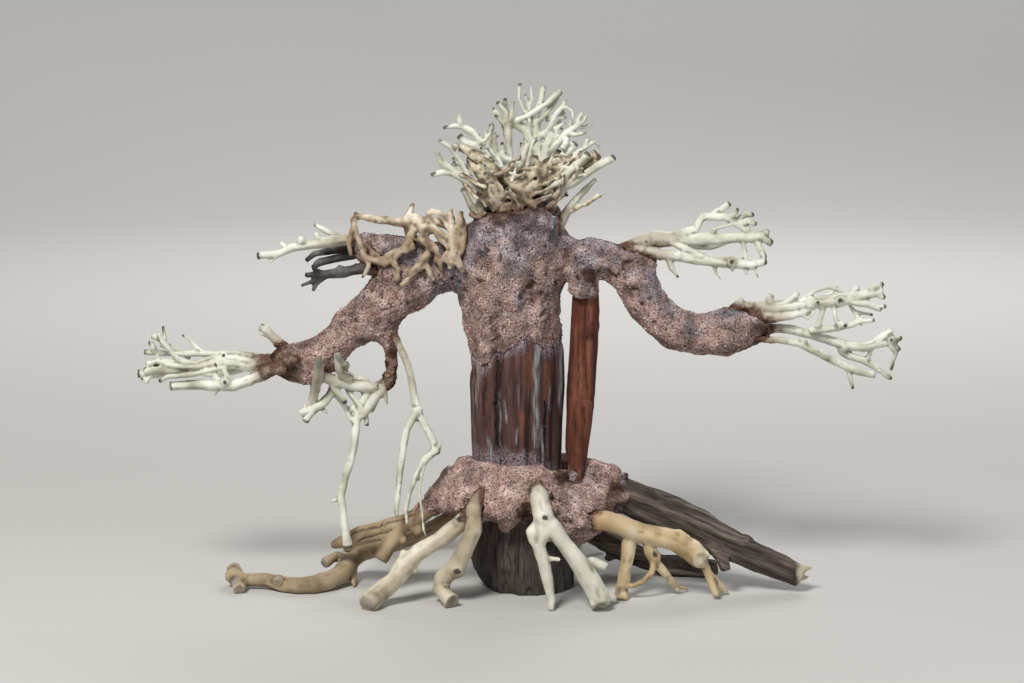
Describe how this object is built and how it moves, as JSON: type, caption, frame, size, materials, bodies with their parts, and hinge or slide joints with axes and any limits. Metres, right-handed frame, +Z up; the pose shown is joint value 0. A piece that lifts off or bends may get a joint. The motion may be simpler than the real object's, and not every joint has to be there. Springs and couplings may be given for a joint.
{
  "type": "aquarium driftwood tree",
  "caption": "Driftwood tree: an upright log with a sawdust crust drawn out into curved arms, bleached twig sprays at the crown and arm ends, and gnarled roots spread on the floor.",
  "frame": {"origin": "on the log's flat sawn base, under the log's middle, at floor level", "axes": "+X to the right seen from the front, -Y to the front, +Z up along the log"},
  "size_m": [0.381, 0.1314, 0.2544],
  "materials": {
    "bleached": "bleached ivory twig wood, dry and matte",
    "grey": "weathered grey twig wood",
    "tan": "tan gnarled root wood",
    "root_tan": "tan root wood, sanded by wear",
    "root_yellow": "yellow tan root wood",
    "dark_bark": "dark grey-brown barky root",
    "red_wood": "red-brown fibrous wood",
    "log_wood": "dark weathered log with grey streaks",
    "crust": "sawdust set in glue, granular and matte"
  },
  "bodies": {
    "root": {"trunk_log": "log_wood", "side_strut": "red_wood", "upper_crust": "crust", "root_crust": "crust", "crown_left_twigs": "bleached", "crown_tall_twigs": "bleached", "crown_right_twigs": "bleached", "crown_back_twigs": "bleached", "left_shoulder_white_twig": "bleached", "left_shoulder_grey_twigs": "grey", "left_shoulder_low_twigs": "grey", "tan_root_tangle": "tan", "left_arm_spray": "bleached", "left_arm_stub": "bleached", "ring_spray": "bleached", "hanging_fork": "bleached", "right_shoulder_spray": "bleached", "right_arm_upper_spray": "bleached", "right_arm_fork": "bleached", "right_arm_low_fork": "bleached", "root_plank_left": "root_tan", "root_long_left": "root_tan", "root_front_left": "bleached", "root_front_mid": "bleached", "root_front_centre": "bleached", "root_right": "root_yellow", "root_dark_right": "dark_bark", "root_dark_back": "dark_bark", "root_back_left": "root_tan", "root_back_middle": "root_yellow"}
  },
  "joints": []
}
